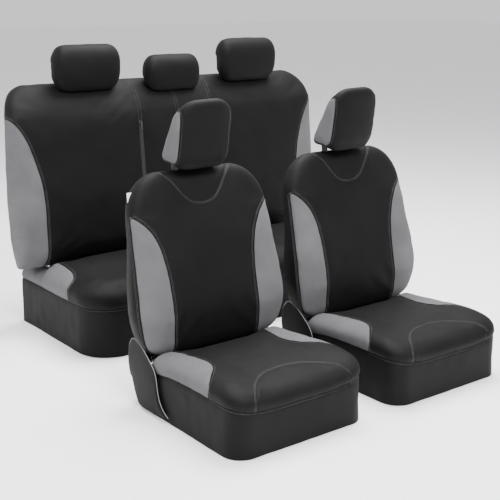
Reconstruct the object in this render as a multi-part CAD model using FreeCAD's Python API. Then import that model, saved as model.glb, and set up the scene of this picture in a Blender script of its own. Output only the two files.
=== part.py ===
"""Seat cover set: two front bucket covers and one rear bench cover, fitted over plain seat forms.

Millimetres.  +X runs to the right when the seats are looked at from the front, +Y runs from the
front row to the bench, +Z is up.  The origin is on the floor under the middle of the whole set.
Each seat is built in its own frame (x from its middle, y from the front of its skirt) and moved
to its place at the end.
"""
import FreeCAD, Part
import math
import os
from FreeCAD import Vector

# ---- driving dimensions -------------------------------------------------------------------
SET_DEPTH = 1476.0                      # front row's skirt to the rear of the bench
BENCH_FRONT = 904.0                     # front row's skirt to the bench's skirt
FRONT_SPACING = 611.0                   # between the middles of the two front seats
FRONT_ROW_OFFSET = -132.0               # middle of the front row, from the middle of the bench

SKIN = 2.0                              # cover fabric with its backing
GAP = 0.5                               # between a form and the cover over it
FLOOR_GAP = 2.0                         # hem of a skirt above the floor
FAR = 4000.0                            # longer than anything in the set

POST_R = 6.0                            # headrest post
POST_CLEARANCE = 0.05                   # post in its guide, on the radius
GUIDE_R = 10.0
GUIDE_LENGTH = 60.0
GUIDE_FLANGE_R = 15.0
GUIDE_FLANGE = 3.0
POST_LEAN = 8.0                         # degrees back from upright
POST_REACH = 100.0                      # how far a cut for a post goes past the back's top

BRACKET = 4.0                           # hinge bracket plate
BRACKET_SLOT = 7.0                      # slot in the back form that the plate stands in
PIN_R = 6.0
PIN_LENGTH = 34.0
PIN_CLEARANCE = 0.1

STRAP_WIDTH = 25.0
STRAP_THICKNESS = 1.5
STRAP_CHANNEL = 5.0                     # depth of the channel under a base form
BASE_DROP = 24.0                        # top of a base form below its skirt's seam
HOOK_SIZE = (30.0, 38.0, 2.0)

ZIP_X = {"left": -170.0, "middle": 0.0, "right": 165.0}
ZIP_LOW, ZIP_TOP = 500.0, 765.0
ZIP_WIDTH = 12.0
ZIP_THICKNESS = 1.0
SLIDER_SIZE = (9.0, 5.0, 16.0)          # across, proud of the tape, along
PULL_SIZE = (6.0, 1.6, 24.0)

FRONT = {
    "half_width": 243.0,                # skirt
    "depth": 492.0,
    "corner": 62.0,                     # plan radius of the two front corners
    "seam": 140.0,                      # height of the skirt's seam
    "cushion_rear": 418.0,
    "pivot": (487.0, 215.0),            # y, z of the recline axis
    "pivot_radius": 66.0,               # round underside of the back form
    "bracket_x": 190.0,
    "post_x": 62.0,
    "post_y": 560.0,                    # where the post axis leaves the back's top
    "post_ends": (-150.0, 32.0),        # below and above the back's top
    "back_top": 738.0,
}
BENCH = {
    "half_width": 616.0,
    "depth": 572.0,
    "corner": 130.0,
    "seam": 175.0,
    "cushion_rear": 368.0,
    "pivot": (466.0, 330.0),
    "pivot_radius": 91.0,
    "bracket_x": 560.0,
    "post_x": 60.0,
    "post_y": 516.0,
    "post_ends": (-150.0, 50.0),
    "back_top": 926.0,
}
# x of each bench headrest, half its width, how far its bottom and top stand above the back's top
BENCH_HEADRESTS = {
    "left": (-369.0, 146.0, -53.0, 136.0),
    "middle": (0.0, 129.0, -80.0, 94.0),
    "right": (369.0, 146.0, -53.0, 138.0),
}

os.makedirs("parts", exist_ok=True)
nodes = {}


# ---- outlines and solids --------------------------------------------------------------------
def loop(points, place):
    """A closed wire through points (a, b, radius), each corner rounded by its radius."""
    count = len(points)
    starts, ends, arcs = [], [], []
    for i in range(count):
        a, b, radius = points[i]
        here = Vector(a, b, 0)
        before = Vector(*points[i - 1][:2], 0) - here
        after = Vector(*points[(i + 1) % count][:2], 0) - here
        before.normalize()
        after.normalize()
        if radius <= 0:
            starts.append(here)
            ends.append(here)
            arcs.append(None)
            continue
        half = before.getAngle(after) / 2
        reach = radius / math.tan(half)
        middle = before + after
        middle.normalize()
        centre = here + middle * (radius / math.sin(half))
        starts.append(here + before * reach)
        ends.append(here + after * reach)
        arcs.append(centre - middle * radius)
    edges = []
    for i in range(count):
        if arcs[i] is not None:
            edges.append(Part.Arc(place(starts[i]), place(arcs[i]), place(ends[i])).toShape())
        nearest = starts[(i + 1) % count]
        if ends[i].distanceToPoint(nearest) > 1e-6:
            edges.append(Part.LineSegment(place(ends[i]), place(nearest)).toShape())
    return Part.Wire(edges)


def side_prism(points, x0, x1):
    """Outline in the YZ plane, from x0 to x1."""
    wire = loop(points, lambda p: Vector(x0, p.x, p.y))
    return Part.Face(wire).extrude(Vector(x1 - x0, 0, 0))


def front_prism(points, y0, y1):
    """Outline in the XZ plane, from y0 to y1."""
    wire = loop(points, lambda p: Vector(p.x, y0, p.y))
    return Part.Face(wire).extrude(Vector(0, y1 - y0, 0))


def plan_prism(points, z0, z1):
    """Outline in the XY plane, from z0 to z1."""
    wire = loop(points, lambda p: Vector(p.x, p.y, z0))
    return Part.Face(wire).extrude(Vector(0, 0, z1 - z0))


def box(x0, x1, y0, y1, z0, z1):
    return Part.makeBox(x1 - x0, y1 - y0, z1 - z0, Vector(x0, y0, z0))


def rod(radius, start, end):
    return Part.makeCylinder(radius, (end - start).Length, start, end - start)


def mirrored(shape):
    """The shape and its twin on the other side of the seat."""
    return Part.makeCompound([shape, shape.mirror(Vector(0, 0, 0), Vector(1, 0, 0))])


def symmetric(half):
    """A full outline from its right half, listed from the bottom up."""
    return half + [(-a, b, r) for a, b, r in reversed(half)]


def add(name, shape, x=0.0, y=0.0):
    """Move the shape to its seat's place and keep its solids."""
    solids = [s for s in shape.copy().Solids if s.Volume > 1.0]
    placed = []
    for solid in solids:
        solid.translate(Vector(x, y - SET_DEPTH / 2, 0))
        placed.append(solid)
    shape = placed[0] if len(placed) == 1 else Part.makeCompound(placed)
    if name in nodes:
        shape = Part.makeCompound(nodes[name].Solids + placed)
    nodes[name] = shape


# ---- cushions, bases and skirts ---------------------------------------------------------------
def plan_outline(seat, inset, rear):
    """Plan of a seat, rounded at its two front corners."""
    half, corner = seat["half_width"] - inset, seat["corner"] - inset
    return [(half, inset, corner), (half, rear, 0), (-half, rear, 0), (-half, inset, corner)]


def cushion_outline(seat, grow):
    """Side view of a cushion, grown by the given amount except where it meets its base."""
    if seat is FRONT:
        top = [(3 - grow, 186 + grow, 46), (150, 201 + grow, 300), (418 + grow, 181 + grow, 8)]
        rear = [(418 + grow, seat["seam"], 0)]
    else:
        top = [(5 - grow, 262 + grow, 62), (366 + grow, 276 + grow, 10)]
        rear = [(366 + grow, 228 + grow, 0), (564 + grow, 228 + grow, 0), (564 + grow, seat["seam"], 0)]
    return [(0 - grow, seat["seam"], 0)] + top + rear


def cushion(seat, grow):
    """A cushion with the seat's plan corners; grow 0 is the cover's outside."""
    block = side_prism(cushion_outline(seat, grow), -FAR, FAR)
    return block.common(plan_prism(plan_outline(seat, -grow, FAR), 0, FAR))


def build_base(seat, prefix, x, y):
    inner = SKIN + GAP
    rear = seat["depth"] - (0 if seat is BENCH else 3)
    base = plan_prism(plan_outline(seat, inner, rear - inner), 0, seat["seam"] - BASE_DROP)
    skirt = plan_prism(plan_outline(seat, 0, rear), FLOOR_GAP, seat["seam"])
    skirt = skirt.cut(plan_prism(plan_outline(seat, SKIN, FAR), 0, FAR))
    offsets = (-110, 110) if seat is FRONT else (-380, 0, 380)
    for offset in offsets:
        half = STRAP_WIDTH / 2 + 8
        base = base.cut(box(offset - half, offset + half, -1, FAR, -1, STRAP_CHANNEL))
        add_strap(seat, offset, x, y, rear)
    for side in (-1, 1):
        plate_x = side * seat["bracket_x"]
        wide = BRACKET / 2 + 0.2
        base = base.cut(box(plate_x - wide, plate_x + wide, seat["pivot"][0] - 41, FAR, 60, FAR))
    add(prefix + "_base_form", base, x, y)
    add(prefix + "_skirt", skirt, x, y)


def add_strap(seat, offset, x, y, rear):
    """An elastic strap in two lengths under a base, joined by a flat hook."""
    low = FLOOR_GAP
    mid = seat["depth"] / 2
    width, length, height = HOOK_SIZE
    half = STRAP_WIDTH / 2
    front = box(offset - half, offset + half, 8, mid - length / 2, low, low + STRAP_THICKNESS)
    back = box(offset - half, offset + half, mid + length / 2, rear - 8, low, low + STRAP_THICKNESS)
    hook = box(offset - width / 2, offset + width / 2, mid - length / 2, mid + length / 2,
               low, low + height)
    for shift in (-12, 12):
        hook = hook.cut(box(offset - 12, offset + 12, mid + shift - 2, mid + shift + 2, 0, 10))
    add("base_straps", front, x, y)
    add("base_straps", back, x, y)
    add("strap_hooks", hook, x, y)


def hinge_bracket(seat, side):
    """Plate that stands in the base and carries a stub pin on the fold axis."""
    y, z = seat["pivot"]
    x = side * seat["bracket_x"]
    plate = side_prism([(y - 40, 62, 0), (y + 40, 62, 0), (y + 18, z + 22, 16), (y - 18, z + 22, 16)],
                       x - BRACKET / 2, x + BRACKET / 2)
    pin = rod(PIN_R, Vector(x - PIN_LENGTH / 2, y, z), Vector(x + PIN_LENGTH / 2, y, z))
    return plate.fuse(pin).removeSplitter()


def build_cushion(seat, prefix, x, y, panels):
    """Cushion form, and its cover split into the sewn panels given as plan prisms."""
    outside = cushion(seat, 0)
    foam = cushion(seat, -SKIN - GAP)
    foam = foam.fuse(plan_prism(plan_outline(seat, SKIN + GAP, seat["cushion_rear"] - 3),
                                seat["seam"] - BASE_DROP + GAP, seat["seam"] + 0.02)).removeSplitter()
    rest = outside.cut(cushion(seat, -SKIN))
    rest = rest.cut(box(-FAR, FAR, seat["cushion_rear"] - SKIN - GAP, FAR, -FAR, FAR))
    for side in (-1, 1):
        wide = BRACKET_SLOT / 2
        slot_x = side * seat["bracket_x"]
        foam = foam.cut(box(slot_x - wide, slot_x + wide, seat["pivot"][0] - 45, FAR, 0, FAR))
    add(prefix + "_cushion_foam", foam, x, y)
    for name, prism in panels:
        add(prefix + name, rest.common(prism), x, y)
        rest = rest.cut(prism)
    add(prefix + "_seat_cover", rest, x, y)


# ---- backs --------------------------------------------------------------------------------------
def back_front_line(seat):
    """Front face of a back in side view, from the hinge up: (y, z) with its corner radius."""
    pivot_y, pivot_z = seat["pivot"]
    face = pivot_y - seat["pivot_radius"]
    if seat is FRONT:
        return [(face, pivot_z, 0), (face, 335, 160), (504, 640, 400), (536, 738, 26)]
    return [(face, pivot_z, 0), (face, 470, 300), (402, 790, 130), (486, 926, 24)]


def back_rear_line(seat):
    """Rear face of a back in side view, from the top down."""
    pivot_y, pivot_z = seat["pivot"]
    face = pivot_y + seat["pivot_radius"]
    if seat is FRONT:
        return [(600, 738, 26), (592, 600, 400), (face, 300, 300), (face, pivot_z, 0)]
    return [(564, 926, 20), (face, 400, 300), (face, pivot_z, 0)]


def lifted(seat, z, grow):
    """Height of a back's corner once grown; only the corners of its top edge move up."""
    return z + grow if z == seat["back_top"] else z


def back_front_view(seat, grow):
    """Front view of a back, right half from the bottom up."""
    if seat is FRONT:
        half = [(224, 0, 0), (224, 200, 60), (268, 290, 90), (260, 590, 150), (176, 738, 70)]
    else:
        half = [(640, 0, 0), (640, 250, 30), (720, 310, 60), (712, 926, 95)]
    return symmetric([(a + grow, lifted(seat, b, grow), r) for a, b, r in half])


def back(seat, grow):
    """A back form with a round underside about its hinge; grow 0 is the cover's outside."""
    pivot_y, pivot_z = seat["pivot"]
    front = [(a - grow, lifted(seat, b, grow), r) for a, b, r in back_front_line(seat)]
    rear = [(a + grow, lifted(seat, b, grow), r) for a, b, r in back_rear_line(seat)]
    profile = side_prism(front + rear, -FAR, FAR)
    under = rod(seat["pivot_radius"] + grow, Vector(-FAR, pivot_y, pivot_z), Vector(FAR, pivot_y, pivot_z))
    view = front_prism(back_front_view(seat, grow), -FAR, FAR)
    return profile.fuse(under).common(view).removeSplitter()


def post_axis(seat, height):
    """A point on the post axis, this far above the top of the back."""
    lean = math.tan(math.radians(POST_LEAN))
    return seat["post_y"] + height * lean, seat["back_top"] + height


def post_rod(seat, x, radius, low, high):
    y0, z0 = post_axis(seat, low)
    y1, z1 = post_axis(seat, high)
    return rod(radius, Vector(x, y0, z0), Vector(x, y1, z1))


def build_back(seat, prefix, x, y, posts, panels):
    """Back form, post guides, and its cover split into sewn panels."""
    pivot_y, pivot_z = seat["pivot"]
    foam = back(seat, -SKIN - GAP)
    skin = back(seat, 0).cut(back(seat, -SKIN))
    for side in (-1, 1):
        plate_x = side * seat["bracket_x"]
        wide = BRACKET_SLOT / 2
        slot = rod(seat["pivot_radius"] + 14, Vector(plate_x - wide, pivot_y, pivot_z),
                   Vector(plate_x + wide, pivot_y, pivot_z))
        long = PIN_LENGTH / 2 + 1
        bore = rod(PIN_R + PIN_CLEARANCE, Vector(plate_x - long, pivot_y, pivot_z),
                   Vector(plate_x + long, pivot_y, pivot_z))
        foam = foam.cut(slot).cut(bore)
        skin = skin.cut(slot)
    for post_x in posts:
        guide = post_rod(seat, post_x, GUIDE_R, -GUIDE_LENGTH, 0.2)
        guide = guide.fuse(post_rod(seat, post_x, GUIDE_FLANGE_R, 0.2, 0.2 + GUIDE_FLANGE))
        guide = guide.cut(post_rod(seat, post_x, POST_R + POST_CLEARANCE, -POST_REACH, POST_REACH))
        add(prefix + "_post_guides", guide.removeSplitter(), x, y)
        foam = foam.cut(post_rod(seat, post_x, GUIDE_R + 0.1, -GUIDE_LENGTH - 0.5, POST_REACH))
        foam = foam.cut(post_rod(seat, post_x, POST_R + 1.5, -190, POST_REACH))
        skin = skin.cut(post_rod(seat, post_x, GUIDE_FLANGE_R + 0.5, -20, POST_REACH))
    add(prefix + "_back_foam", foam, x, y)
    rest = skin
    for name, prism in panels:
        add(prefix + name, rest.common(prism), x, y)
        rest = rest.cut(prism)
    add(prefix + "_back_cover", rest, x, y)


# ---- headrests ------------------------------------------------------------------------------------
def headrest(profile, view, grow):
    """A headrest from its side view and its front view."""
    return side_prism(grown(profile, grow), -FAR, FAR).common(front_prism(grown(view, grow), -FAR, FAR))


def grown(points, grow):
    """The outline with every corner moved out by grow, measured from the two edges beside it."""
    count = len(points)
    area = sum(points[i - 1][0] * points[i][1] - points[i][0] * points[i - 1][1] for i in range(count))
    turn = 1 if area > 0 else -1
    moved = []
    for i in range(count):
        here = Vector(*points[i][:2], 0)
        into = here - Vector(*points[i - 1][:2], 0)
        out = Vector(*points[(i + 1) % count][:2], 0) - here
        into.normalize()
        out.normalize()
        first = Vector(into.y, -into.x, 0) * turn
        second = Vector(out.y, -out.x, 0) * turn
        middle = first + second
        middle.normalize()
        spot = here + middle * (grow / middle.dot(first))
        convex = into.cross(out).z * turn > 0
        radius = points[i][2]
        moved.append((spot.x, spot.y, max(radius + (grow if convex else -grow), 0) if radius else 0))
    return moved


def build_headrest(seat, names, x, y, middle, profile, view, side_panel=None):
    """One headrest: form, cover, posts, and grey side panels where it has them."""
    foam_name, cover_name, posts_name = names
    outside = headrest(profile, view, 0)
    inside = headrest(profile, view, -SKIN)
    foam = headrest(profile, view, -SKIN - GAP)
    skin = outside.cut(inside)
    low, high = seat["post_ends"]
    posts = []
    for side in (-1, 1):
        post_x = side * seat["post_x"]
        posts.append(post_rod(seat, post_x, POST_R, low, high))
        foam = foam.cut(post_rod(seat, post_x, POST_R, -POST_REACH, high))
        skin = skin.cut(post_rod(seat, post_x, GUIDE_FLANGE_R + 1, -POST_REACH, 12))
    add(foam_name, foam, x + middle, y)
    add(posts_name, Part.makeCompound(posts), x + middle, y)
    if side_panel is not None:
        name, prism = side_panel
        add(name, skin.common(prism), x + middle, y)
        skin = skin.cut(prism)
    add(cover_name, skin, x + middle, y)


# ---- the two front seats ----------------------------------------------------------------------------
def front_cushion_panels():
    """Plan prisms of the front panel and of the side panels of a front cushion."""
    arch = [(176, -9, 0), (210, 60, 60), (96, 62, 80), (-96, 62, 80), (-210, 60, 60), (-176, -9, 0)]
    wedge = [(320, 110, 0), (245, 128, 0), (163, 240, 130), (142, 330, 160), (156, 430, 0), (320, 430, 0)]
    side = plan_prism(wedge, 0, FAR)
    both = side.fuse(side.mirror(Vector(0, 0, 0), Vector(1, 0, 0)))
    return [("_seat_front_panel", plan_prism(arch, 0, FAR)), ("_seat_side_panels", both)]


def front_back_panels():
    """Prisms of the back's rear shell, its grey side panels and its yoke."""
    face = back_front_line(FRONT)
    seam = [(a + 16, b, 0) for a, b, r in face]
    rear_zone = side_prism(seam[:-1] + [(574, 760, 0), (900, 760, 0), (900, -100, 0),
                                        (seam[0][0], -100, 0)], -FAR, FAR)
    outline = [(160, 100, 0), (159, 420, 220), (190, 545, 90), (246, 592, 0), (300, 592, 0), (300, 100, 0)]
    side = front_prism(outline, -FAR, FAR)
    both = side.fuse(side.mirror(Vector(0, 0, 0), Vector(1, 0, 0)))
    scoop = [(186, 800, 0), (186, 740, 0), (100, 690, 60), (40, 606, 40), (-40, 606, 40),
             (-100, 690, 60), (-186, 740, 0), (-186, 800, 0)]
    return [("_back_shell", rear_zone), ("_back_side_panels", both),
            ("_back_yoke", front_prism(scoop, -FAR, FAR))]


def build_rear_flap(x, y):
    """Tail of the back cover: it hangs outside the skirt behind the cushion and closes the rear."""
    side_x = 250.0
    thick = 1.2
    rear_y = 549.0
    outline = [(325, 12, 0), (365, 50, 30), (381, 110, 60), (400, 170, 60), (470, 214, 60), (517, 226, 0),
               (rear_y + thick, 210, 0), (rear_y + thick, 140, 0), (500, 12, 40)]
    side = side_prism(outline, side_x, side_x + thick)
    add("rear_flaps", mirrored(side), x, y)
    add("rear_flaps", box(-side_x, side_x, rear_y, rear_y + thick, 60, 150), x, y)


def build_front_seat(prefix, x):
    seat = FRONT
    build_base(seat, prefix, x, 0)
    build_cushion(seat, prefix, x, 0, front_cushion_panels())
    posts = (-seat["post_x"], seat["post_x"])
    build_back(seat, prefix, x, 0, posts, front_back_panels())
    build_rear_flap(x, 0)
    for side in (-1, 1):
        add("hinge_brackets", hinge_bracket(seat, side), x, 0)
    profile = [(473, 744, 22), (448, 924, 40), (454, 946, 14), (498, 946, 18), (532, 868, 90), (606, 744, 16)]
    view = symmetric([(108, 744, 22), (104, 946, 50)])
    wedge = side_prism([(476, 735, 0), (450, 930, 0), (478, 930, 0), (588, 735, 0)], -FAR, FAR)
    wedge = wedge.cut(box(-88, 88, -FAR, FAR, -FAR, FAR))
    names = [prefix + "_headrest_" + part for part in ("foam", "cover", "posts")]
    build_headrest(seat, names, x, 0, 0, profile, view, (prefix + "_headrest_side_panels", wedge))


def build_care_tag(x):
    """Small blank label sewn into the outer side seam of the left back."""
    add("care_tag", box(-236.5, -226.2, 539, 540, 650, 672), x, 0)


# ---- the bench ------------------------------------------------------------------------------------------
def bench_panels():
    """Plan prism of the grey corner panels, then the back's rear shell and side panels."""
    corner = [(700, 160, 0), (606, 215, 50), (584, 330, 160), (577, 380, 0), (700, 380, 0)]
    side = plan_prism(corner, 0, FAR)
    corners = side.fuse(side.mirror(Vector(0, 0, 0), Vector(1, 0, 0)))
    seam = [(a + 30, b, 0) for a, b, r in back_front_line(BENCH)]
    rear_zone = side_prism(seam[:-1] + [(540, 960, 0), (900, 960, 0), (900, -100, 0),
                                        (seam[0][0], -100, 0)], -FAR, FAR)
    outline = [(580, 100, 0), (578, 520, 300), (604, 650, 120), (680, 800, 60), (900, 800, 0), (900, 100, 0)]
    side = front_prism(outline, -FAR, FAR)
    sides = side.fuse(side.mirror(Vector(0, 0, 0), Vector(1, 0, 0)))
    return corners, rear_zone, sides


def zip_line():
    """Low end, high end and unit direction of the straight run of a zip, on the cover's face."""
    seat = BENCH
    face = seat["pivot"][0] - seat["pivot_radius"]
    low, high = Vector(0, face, 470), Vector(0, 402, 790)
    along = high - low
    along.normalize()
    return low, high, along


def zip_block(x, size, height, proud):
    """A block on the zip line, centred across it, standing proud of the cover's face."""
    low, high, along = zip_line()
    out = Vector(0, -along.z, along.y)
    across, thick, tall = size
    start = low + along * ((height - low.z) / along.z)
    block = Part.makeBox(across, thick, tall, Vector(-across / 2, -thick, -tall))
    turn = math.degrees(math.atan2(along.y, along.z))
    block.rotate(Vector(0, 0, 0), Vector(1, 0, 0), -turn)
    block.translate(Vector(x, start.y, start.z) + out * proud)
    return block


def build_zips():
    for name, x in ZIP_X.items():
        tape = zip_block(x, (ZIP_WIDTH, ZIP_THICKNESS, ZIP_TOP - ZIP_LOW), ZIP_TOP, 0.3)
        add("zip_tapes", tape, 0, BENCH_FRONT)
        slider_top = ZIP_TOP - 6
        slider = zip_block(x, SLIDER_SIZE, slider_top, 0.6 + ZIP_THICKNESS)
        pull = zip_block(x, PULL_SIZE, slider_top - 8, 0.6 + ZIP_THICKNESS + SLIDER_SIZE[1] - 0.4)
        add("zip_slider_" + name, slider.fuse(pull).removeSplitter(), 0, BENCH_FRONT)


def build_bench_headrest(name):
    seat = BENCH
    middle, half, bottom, top = BENCH_HEADRESTS[name]
    low, high = seat["back_top"] + bottom, seat["back_top"] + top
    sill = seat["back_top"] + 5.5
    front = 406.0
    profile = [(front + 8, low, 16), (front, low + 60, 40), (front + 6, high, 34), (front + 134, high, 44),
               (front + 146, sill, 16), (front + 62, sill, 10), (front + 36, low, 12)]
    if name == "middle":
        profile[-2] = (front + 50, sill, 10)
        profile[-1] = (front + 26, low, 8)
        profile[0] = (front - 2, low, 10)
    view = symmetric([(half, low, 40), (half, high, 44)])
    names = ["bench_headrest_%s_%s" % (part, name) for part in ("foam", "cover", "posts")]
    build_headrest(seat, names, 0, BENCH_FRONT, middle, profile, view)


def build_bench():
    seat = BENCH
    corners, rear_zone, sides = bench_panels()
    build_base(seat, "bench", 0, BENCH_FRONT)
    build_cushion(seat, "bench", 0, BENCH_FRONT, [("_corner_panels", corners)])
    posts = [middle + side * seat["post_x"] for middle, _, _, _ in BENCH_HEADRESTS.values() for side in (-1, 1)]
    build_back(seat, "bench", 0, BENCH_FRONT, posts, [("_back_shell", rear_zone), ("_back_side_panels", sides)])
    for side in (-1, 1):
        add("hinge_brackets", hinge_bracket(seat, side), 0, BENCH_FRONT)
    build_zips()
    for name in BENCH_HEADRESTS:
        build_bench_headrest(name)


left_x = FRONT_ROW_OFFSET - FRONT_SPACING / 2
right_x = FRONT_ROW_OFFSET + FRONT_SPACING / 2
build_front_seat("left", left_x)
build_front_seat("right", right_x)
build_care_tag(left_x)
build_bench()

for name, shape in nodes.items():
    if not shape.isValid():
        raise ValueError(name + " is not a valid shape")
    shape.exportStep("parts/" + name + ".step")
everything = Part.makeCompound(list(nodes.values())).BoundBox
print(len(nodes), "nodes;", "x %.1f %.1f  y %.1f %.1f  z %.1f %.1f" % (
    everything.XMin, everything.XMax, everything.YMin, everything.YMax, everything.ZMin, everything.ZMax))
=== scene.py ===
"""Looks of the seat cover set: fitted fabric covers over the two front seats and the rear bench.

Every cover is one smooth closed form, cut along its seams into the panels it is sewn from.
Lengths are metres in the shared frame; each seat is shaped in its own frame (x from its middle,
y from the front of its skirt) and moved to its place when its pieces are made.
"""
import math

import bpy
import numpy as np
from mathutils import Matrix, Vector
from mathutils.kdtree import KDTree


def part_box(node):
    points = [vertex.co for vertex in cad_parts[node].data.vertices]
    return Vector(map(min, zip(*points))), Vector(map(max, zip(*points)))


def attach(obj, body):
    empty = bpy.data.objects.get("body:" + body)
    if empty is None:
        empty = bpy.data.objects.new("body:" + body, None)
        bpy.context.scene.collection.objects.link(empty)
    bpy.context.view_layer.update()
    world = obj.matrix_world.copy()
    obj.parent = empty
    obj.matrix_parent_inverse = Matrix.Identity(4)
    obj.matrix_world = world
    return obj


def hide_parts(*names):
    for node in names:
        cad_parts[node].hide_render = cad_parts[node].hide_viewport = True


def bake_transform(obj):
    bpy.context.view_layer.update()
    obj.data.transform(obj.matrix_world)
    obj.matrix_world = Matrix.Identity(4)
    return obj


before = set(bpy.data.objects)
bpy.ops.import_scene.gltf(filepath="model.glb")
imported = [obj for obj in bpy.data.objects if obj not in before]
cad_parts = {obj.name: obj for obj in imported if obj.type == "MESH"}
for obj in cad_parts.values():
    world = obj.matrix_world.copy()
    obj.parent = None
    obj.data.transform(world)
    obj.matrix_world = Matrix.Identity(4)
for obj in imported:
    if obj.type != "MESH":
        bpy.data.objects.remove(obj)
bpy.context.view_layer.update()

# ---- places taken from the frame ----
def middle_x(name):
    low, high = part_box(name)
    return (low[0] + high[0]) / 2


FRONT_X = {side: middle_x(side + "_skirt") for side in ("left", "right")}
FRONT_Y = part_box("left_skirt")[0][1]
FRONT_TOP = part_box("left_back_shell")[1][2]
BENCH_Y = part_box("bench_skirt")[0][1]
BENCH_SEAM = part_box("bench_skirt")[1][2]
HEM_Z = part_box("left_skirt")[0][2]
ZIP_X = [middle_x("zip_slider_" + which) for which in ("left", "middle", "right")]
ZIP_LOW, ZIP_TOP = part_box("zip_tapes")[0][2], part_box("zip_tapes")[1][2]

FRONT_CELL = 0.0065                     # mesh size on the front seats
BENCH_CELL = 0.0085
SHELL = 0.0013                          # thickness of the fabric
SMOOTH_ANGLE = 50                       # sharper edges than this, in degrees, stay sharp

SEAM_DEPTH = 0.0024                     # how far a seam pulls the fabric in
SEAM_WIDTH = 0.0055
PUCKER = 0.0006                         # height of the small folds beside a seam
PUCKER_PLACE, PUCKER_WIDTH = 0.014, 0.008
DRIFT = ((0.0009, 0.11, 21), (0.0005, 0.045, 33))       # height, size and seed of waves in the cloth

STUFF_FRAMES = 12                       # length of the cloth simulation
STUFF_QUALITY = 3
STUFF_PRESSURE = 5.0
STUFF_REACH = 0.006                     # no point of the cloth moves further than this
STUFF_SLACK = 0.0020                    # how far the cloth starts inside its form

CORD_SIDES = 6
WELT_RADIUS, WELT_LIFT = 0.0014, 0.0009
TWIN, SINGLE = (0.0045, 0.0085), (0.005,)               # rows of topstitching beside a seam
STITCH_LENGTH, STITCH_GAP = 0.0042, 0.0014
STITCH_RADIUS, STITCH_LIFT = 0.00045, 0.0003
STITCH_RINGS = ((0.12, 0.75), (0.5, 1.0), (0.88, 0.75))  # place along a stitch and fatness there

TAPE_LIFT = 0.0016                      # zip tape above the fabric
TAPE_PROFILE = ((-0.009, -0.0022), (-0.008, 0.0), (-0.0015, 0.0006), (0.0015, 0.0006), (0.008, 0.0),
                (0.009, -0.0022))
TOOTH_PITCH, TOOTH_SHIFT, TOOTH_LIFT = 0.0034, 0.0011, 0.0008
TOOTH_RINGS = ((-0.0008, 0.0024, 0.0011), (0.0002, 0.0024, 0.0011), (0.0009, 0.0016, 0.0006))


# ---- numbers and curves ----
def curve(*knots):
    """A smooth function through (place, value) knots without overshoot, flat beyond its ends."""
    x, y = np.array(knots, float).T
    step = np.diff(x)
    slope = np.diff(y) / step
    left, right = slope[:-1], slope[1:]
    total = np.where(left + right == 0, 1, left + right)
    inner = np.where(left * right > 0, 2 * left * right / total, 0)
    tangent = np.concatenate([[slope[0]], inner, [slope[-1]]])

    def value(t):
        t = np.clip(t, x[0], x[-1])
        i = np.clip(np.searchsorted(x, t) - 1, 0, len(step) - 1)
        h = step[i]
        u = (t - x[i]) / h
        return ((1 + 2 * u) * (1 - u) ** 2 * y[i] + u * (1 - u) ** 2 * h * tangent[i]
                + u * u * (3 - 2 * u) * y[i + 1] + u * u * (u - 1) * h * tangent[i + 1])
    return value


def smax(a, b, k):
    """The larger of two distances, blended over k into a rounded edge."""
    h = np.maximum(k - np.abs(a - b), 0) / k
    return np.maximum(a, b) + h * h * k / 4


def bump(t, middle, width):
    """1 at the middle, falling to nothing a few widths away."""
    return np.exp(-((t - middle) / width) ** 2)


def step_up(t, low, high):
    """Rises smoothly from 0 at low to 1 at high."""
    u = np.clip((t - low) / (high - low), 0, 1)
    return u * u * (3 - 2 * u)


def rounded_box(u, v, half, top, radius):
    """Distance to a plan |u| <= half, v <= top, with its two corners rounded."""
    a = np.abs(u) - (half - radius)
    b = v - (top - radius)
    return np.hypot(np.maximum(a, 0), np.maximum(b, 0)) + np.minimum(np.maximum(a, b), 0) - radius


def wobble(p, size, seed, stretch=(1, 1, 1)):
    """Smooth random waves of about this size, between -1 and 1."""
    rng = np.random.default_rng(seed)
    total = np.zeros(len(p))
    for _ in range(7):
        way = rng.normal(size=3) * np.array(stretch)
        way *= 2 * math.pi / size / np.linalg.norm(way) * rng.uniform(0.6, 1.3)
        total += np.sin(p @ way + rng.uniform(0, 2 * math.pi))
    return total / 7 * 1.6


def unit(rows):
    """Each row as a direction of length 1."""
    return rows / np.maximum(np.linalg.norm(rows, axis=1), 1e-12)[:, None]


def smooth_loop(points, steps=9):
    """A closed smooth polygon through (u, v) points; a point with a third value is a corner."""
    count = len(points)
    spots = np.array([p[:2] for p in points], float)
    sharp = [len(p) > 2 for p in points]
    out = []
    for i in range(count):
        a, b = spots[i], spots[(i + 1) % count]
        start = b - a if sharp[i] else (b - spots[i - 1]) / 2
        end = b - a if sharp[(i + 1) % count] else (spots[(i + 2) % count] - a) / 2
        for u in np.arange(steps) / steps:
            out.append((1 + 2 * u) * (1 - u) ** 2 * a + u * (1 - u) ** 2 * start
                       + u * u * (3 - 2 * u) * b + u * u * (u - 1) * end)
    return np.array(out)


def region(points):
    """Signed distance to a smooth outline in two coordinates, negative inside."""
    loop = smooth_loop(points)
    a, b = loop, np.roll(loop, -1, 0)
    run = b - a
    square = (run ** 2).sum(1)

    def distance(u, v):
        p = np.stack([u, v], -1)
        near = np.full(len(p), np.inf)
        inside = np.zeros(len(p), bool)
        for i in range(len(loop)):
            if square[i] < 1e-12:
                continue
            t = np.clip(((p - a[i]) @ run[i]) / square[i], 0, 1)
            near = np.minimum(near, ((p - a[i] - t[:, None] * run[i]) ** 2).sum(1))
            crossing = (a[i][1] > v) != (b[i][1] > v)
            with np.errstate(divide="ignore", invalid="ignore"):
                reach = a[i][0] + (v - a[i][1]) * run[i][0] / run[i][1]
            inside ^= crossing & (u < reach)
        return np.where(inside, -1, 1) * np.sqrt(near)
    return distance


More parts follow.
